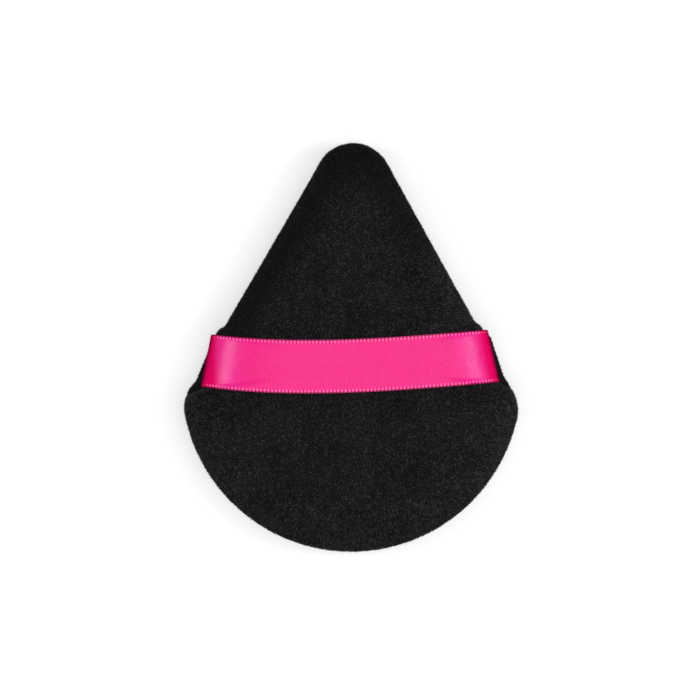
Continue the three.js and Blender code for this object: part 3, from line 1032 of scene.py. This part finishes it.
def satin_weave(nodes, uv):
    """Height of the weave, 0 at its binding points and 1 on its floats, and a shade for each warp yarn."""
    along, across, _ = nodes.split(uv)
    warp = nodes.maths("DIVIDE", across, WARP_PITCH / MM)
    end = nodes.maths("FLOOR", warp)
    bow = nodes.maths("SINE", nodes.times(nodes.maths("FRACT", warp), math.pi))
    yarn = nodes.add("ShaderNodeTexWhiteNoise", {"noise_dimensions": "1D"}, W=end).outputs["Value"]
    wear = nodes.noise(uv, WEAR_SCALE, detail=2.0)
    slip = nodes.plus(nodes.scaled(yarn, YARN_SLIP, end), nodes.times(wear, WEAR_SLIP))
    pick = nodes.maths("SUBTRACT", nodes.maths("DIVIDE", along, PICK_PITCH / MM), slip)
    repeat = nodes.times(nodes.maths("FRACT", nodes.maths("DIVIDE", pick, FLOAT_PICKS)), FLOAT_PICKS)
    floats = nodes.maths("MINIMUM", nodes.ramp(repeat, *FLOAT_RISES), nodes.ramp(repeat, *FLOAT_FALLS))
    bowed = nodes.times(floats, nodes.scaled(bow, 0.5, 0.5))
    clear = nodes.ramp(wear, *WEAR_SHOWS, bottom=WORN_CONTRAST)
    return nodes.plus(nodes.spread(bowed, clear), 0.5), yarn


def satin_material(fold):
    """Warp-faced satin: lengthwise floats that shine, dull binding points on a diagonal, and ribbed edges."""
    material, nodes, bsdf = new_material(
        "pink_satin", Roughness=0.6, Specular_IOR_Level=0.0, Coat_Roughness=0.3
    )
    uv = nodes.add("ShaderNodeUVMap", {"uv_map": "strip"}).outputs[0]
    along, across, _ = nodes.split(uv)
    to_bend = nodes.stored("to_bend")
    from_rim = nodes.maths("SUBTRACT", RIBBON_WIDTH / MM / 2, nodes.maths("ABSOLUTE", across))
    weave, yarn = satin_weave(nodes, uv)
    rib = nodes.maths("ABSOLUTE", nodes.maths("SINE", nodes.times(along, math.pi / (SELVEDGE_PITCH / MM))))
    edged = nodes.ramp(from_rim, *WOVEN_EDGE)
    surface = socket(nodes.add("ShaderNodeMix", Factor=edged, A=weave, B=rib).outputs, "Result")
    cloud = nodes.scaled(nodes.noise(uv, CLOUD_SCALE, detail=3.0), CLOUD_SHARE, CLOUD_SHIFT)
    tone = nodes.scaled(surface, WEAVE_SHARE, nodes.plus(cloud, nodes.times(yarn, YARN_SHARE)))
    # Painted highlight: the colour pales to lilac pink over the bend.
    painted_highlight = nodes.times(nodes.ramp(to_bend, *HIGHLIGHT_PAINT_RISES), nodes.ramp(to_bend, *HIGHLIGHT_PAINT_FADES, top=HIGHLIGHT_PAINT_STRENGTH))
    # Painted shade: crimson past the bend, and dark in the fold and along the rim.
    start, end = SATIN_END_SHADE_REACH
    shaded_colour = nodes.add(
        "ShaderNodeGroup",
        {"node_tree": fold},
        Color=nodes.blend(painted_highlight, nodes.blend(tone, *SATIN_COLOURS), HIGHLIGHT_PAINT_PINK),
        To_Bend=to_bend,
        Red_From=start,
        Red_To=end,
        Redness=SATIN_END_SHADE_DEPTH,
        To_Edge=nodes.stored("to_edge"),
        Rim=nodes.ramp(from_rim, *RIM_SHADE_REACH, top=RIM_SHADE_DEPTH),
    )
    nodes.put(bsdf.inputs["Base Color"], shaded_colour.outputs[0])
    shine = nodes.times(nodes.ramp(to_bend, *SHINE_STARTS), nodes.ramp(surface, *FLOATS_SHINE))
    nodes.put(bsdf.inputs["Coat Weight"], shine)
    bump = nodes.add("ShaderNodeBump", Height=surface, Strength=0.9, Distance=WEAVE_RELIEF)
    nodes.put(bsdf.inputs["Normal"], bump.outputs[0])
    return material


def selvedge_material(fold):
    """Weft turns, paler than the satin, under painted shade where they near the fold."""
    material, nodes, bsdf = new_material("selvedge_yarn", Roughness=0.5, Specular_IOR_Level=0.12)
    to_edge = nodes.stored("to_edge")
    start, end = RIB_END_SHADE_REACH
    # Painted shade: crimson and dark towards the fold.
    shaded_colour = nodes.add(
        "ShaderNodeGroup",
        {"node_tree": fold},
        Color=nodes.blend(nodes.noise(nodes.place(), RIB_GRAIN, detail=1.0), *RIB_COLOURS),
        To_Bend=to_edge,
        Red_From=start,
        Red_To=end,
        Redness=RIB_END_SHADE_DEPTH,
        To_Edge=to_edge,
    )
    nodes.put(bsdf.inputs["Base Color"], shaded_colour.outputs[0])
    return material


def foam_material():
    material, nodes, bsdf = new_material("cream_foam", Roughness=0.9)
    cells = nodes.add("ShaderNodeTexVoronoi", Vector=nodes.place(), Scale=1400.0).outputs["Distance"]
    nodes.put(bsdf.inputs["Base Color"], nodes.blend(cells, *FOAM_COLOURS))
    bump = nodes.add("ShaderNodeBump", Height=cells, Strength=0.8, Distance=0.3 * MM)
    nodes.put(bsdf.inputs["Normal"], bump.outputs[0])
    return material


def thread_material():
    """Black spun thread, with the slant of its twist."""
    material, nodes, bsdf = new_material("black_thread", Sheen_Weight=0.2)
    x, y, z = nodes.split(nodes.place())
    slant = nodes.plus(nodes.plus(x, y), z)
    twist = nodes.maths("ABSOLUTE", nodes.maths("SINE", nodes.times(slant, THREAD_TWIST)))
    nodes.put(bsdf.inputs["Base Color"], nodes.blend(twist, *THREAD_COLOURS))
    rough = nodes.add("ShaderNodeMapRange", Value=twist, To_Min=0.85, To_Max=0.6)
    nodes.put(bsdf.inputs["Roughness"], rough.outputs[0])
    return material


# Camera, light and floor


def camera_and_light():
    camera = bpy.data.cameras.new("camera")
    camera.sensor_width = SENSOR
    camera.lens = SENSOR * (CAMERA_HEIGHT - SEAM_Z) / (PIXEL * PICTURE)
    camera.clip_end = CAMERA_RANGE
    holder = bpy.data.objects.new("camera", camera)
    holder.location = (*AIM, CAMERA_HEIGHT)
    holder.rotation_euler = (0, 0, CAMERA_ROLL)
    bpy.context.scene.collection.objects.link(holder)
    bpy.context.scene.camera = holder
    for name, (place, size, watts) in SOFTBOXES.items():
        lamp = bpy.data.lights.new(name, "AREA")
        lamp.size = size
        lamp.energy = watts
        softbox = bpy.data.objects.new(name, lamp)
        softbox.location = place
        softbox.rotation_euler = (-Vector(place)).to_track_quat("-Z", "Y").to_euler()
        bpy.context.scene.collection.objects.link(softbox)
    world = bpy.data.worlds.new("studio")
    world.use_nodes = True
    background = world.node_tree.nodes["Background"]
    background.inputs["Color"].default_value = (1, 1, 1, 1)
    background.inputs["Strength"].default_value = WORLD_LIGHT
    bpy.context.scene.world = world


def floor():
    """A pale floor that keeps the object's shadow and shows white further out."""
    material, nodes, bsdf = new_material("white_floor", Roughness=0.9, Specular_IOR_Level=0.1)
    where = nodes.place()
    grain = nodes.noise(where, FLOOR_GRAIN, detail=2.0)
    nodes.put(bsdf.inputs["Base Color"], nodes.blend(grain, *FLOOR_COLOURS))
    away = nodes.add("ShaderNodeVectorMath", {"operation": "LENGTH"}, Vector=where).outputs["Value"]
    near, far = FLOOR_FADE
    limits = {"From_Min": near, "From_Max": far, "To_Min": FLOOR_GLOW, "To_Max": 1.0}
    white = nodes.add("ShaderNodeMapRange", Value=away, **limits)
    path = nodes.add("ShaderNodeLightPath").outputs
    reflected = nodes.plus(path["Is Glossy Ray"], path["Is Transmission Ray"])
    shown = nodes.plus(path["Is Camera Ray"], reflected)
    glow = nodes.add("ShaderNodeEmission", Strength=nodes.times(shown, white.outputs[0]))
    lit = nodes.add("ShaderNodeAddShader")
    nodes.put(lit.inputs[0], bsdf.outputs[0])
    nodes.put(lit.inputs[1], glow.outputs[0])
    nodes.put(nodes.tree.nodes["Material Output"].inputs["Surface"], lit.outputs[0])
    corners = [(x * FLOOR_HALF, y * FLOOR_HALF, 0) for x, y in ((-1, -1), (1, -1), (1, 1), (-1, 1))]
    plane = new_piece("floor", corners, [(0, 1, 2, 3)], material)


# Assembly

bpy.context.scene.view_settings.view_transform = "Standard"
camera_and_light()
floor()

nap = nap_group()
velour_cloth = velour_cloth_material(nap)
velour_pile = velour_pile_material(nap)
fold = painted_shade_group()
satin = satin_material(fold)
selvedge_yarn = selvedge_material(fold)
foam = foam_material()
black_thread = thread_material()

front = cover("front_velour", 1, FRONT_CROWN, velour_cloth)
back = cover("back_velour", -1, BACK_CROWN, velour_cloth)
core = foam_core(foam)

pile_maker = pile_tree()
piles = {}
for carrier, seed in ((front, 7), (back, 11)):
    for part, from_y, to_y in (("upper", CROWN_Y, PAD_LENGTH), ("lower", -PAD_LENGTH, CROWN_Y)):
        values = {**PILE_SIZES, "From Y": from_y, "To Y": to_y, "Seed": seed, "Material": velour_pile}
        name = carrier.name.replace("velour", part + "_pile")
        piles.setdefault(carrier.name, []).append(comb(grown_on(name, carrier.data, pile_maker, values)))

turns = selvedge_tree()
ribbon_right = ribbon_half("ribbon_right", 1, satin)
ribbon_left = ribbon_half("ribbon_left", -1, satin)
edge_right = selvedge("selvedge_right", 1, turns, selvedge_yarn)
edge_left = selvedge("selvedge_left", -1, turns, selvedge_yarn)

for piece in (front, back, *piles["front_velour"], *piles["back_velour"]):
    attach(piece, "pad")
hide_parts("front_cover")
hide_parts("back_cover")
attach(core, "pad")
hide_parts("sponge_core")
for piece, side in ((ribbon_right, 1), (edge_right, 1), (ribbon_left, -1), (edge_left, -1)):
    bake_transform(piece)
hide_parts("ribbon_strap")
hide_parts("ribbon_strap")

for node in THREADS:
    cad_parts[node].data.materials.clear()
    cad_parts[node].data.materials.append(black_thread)
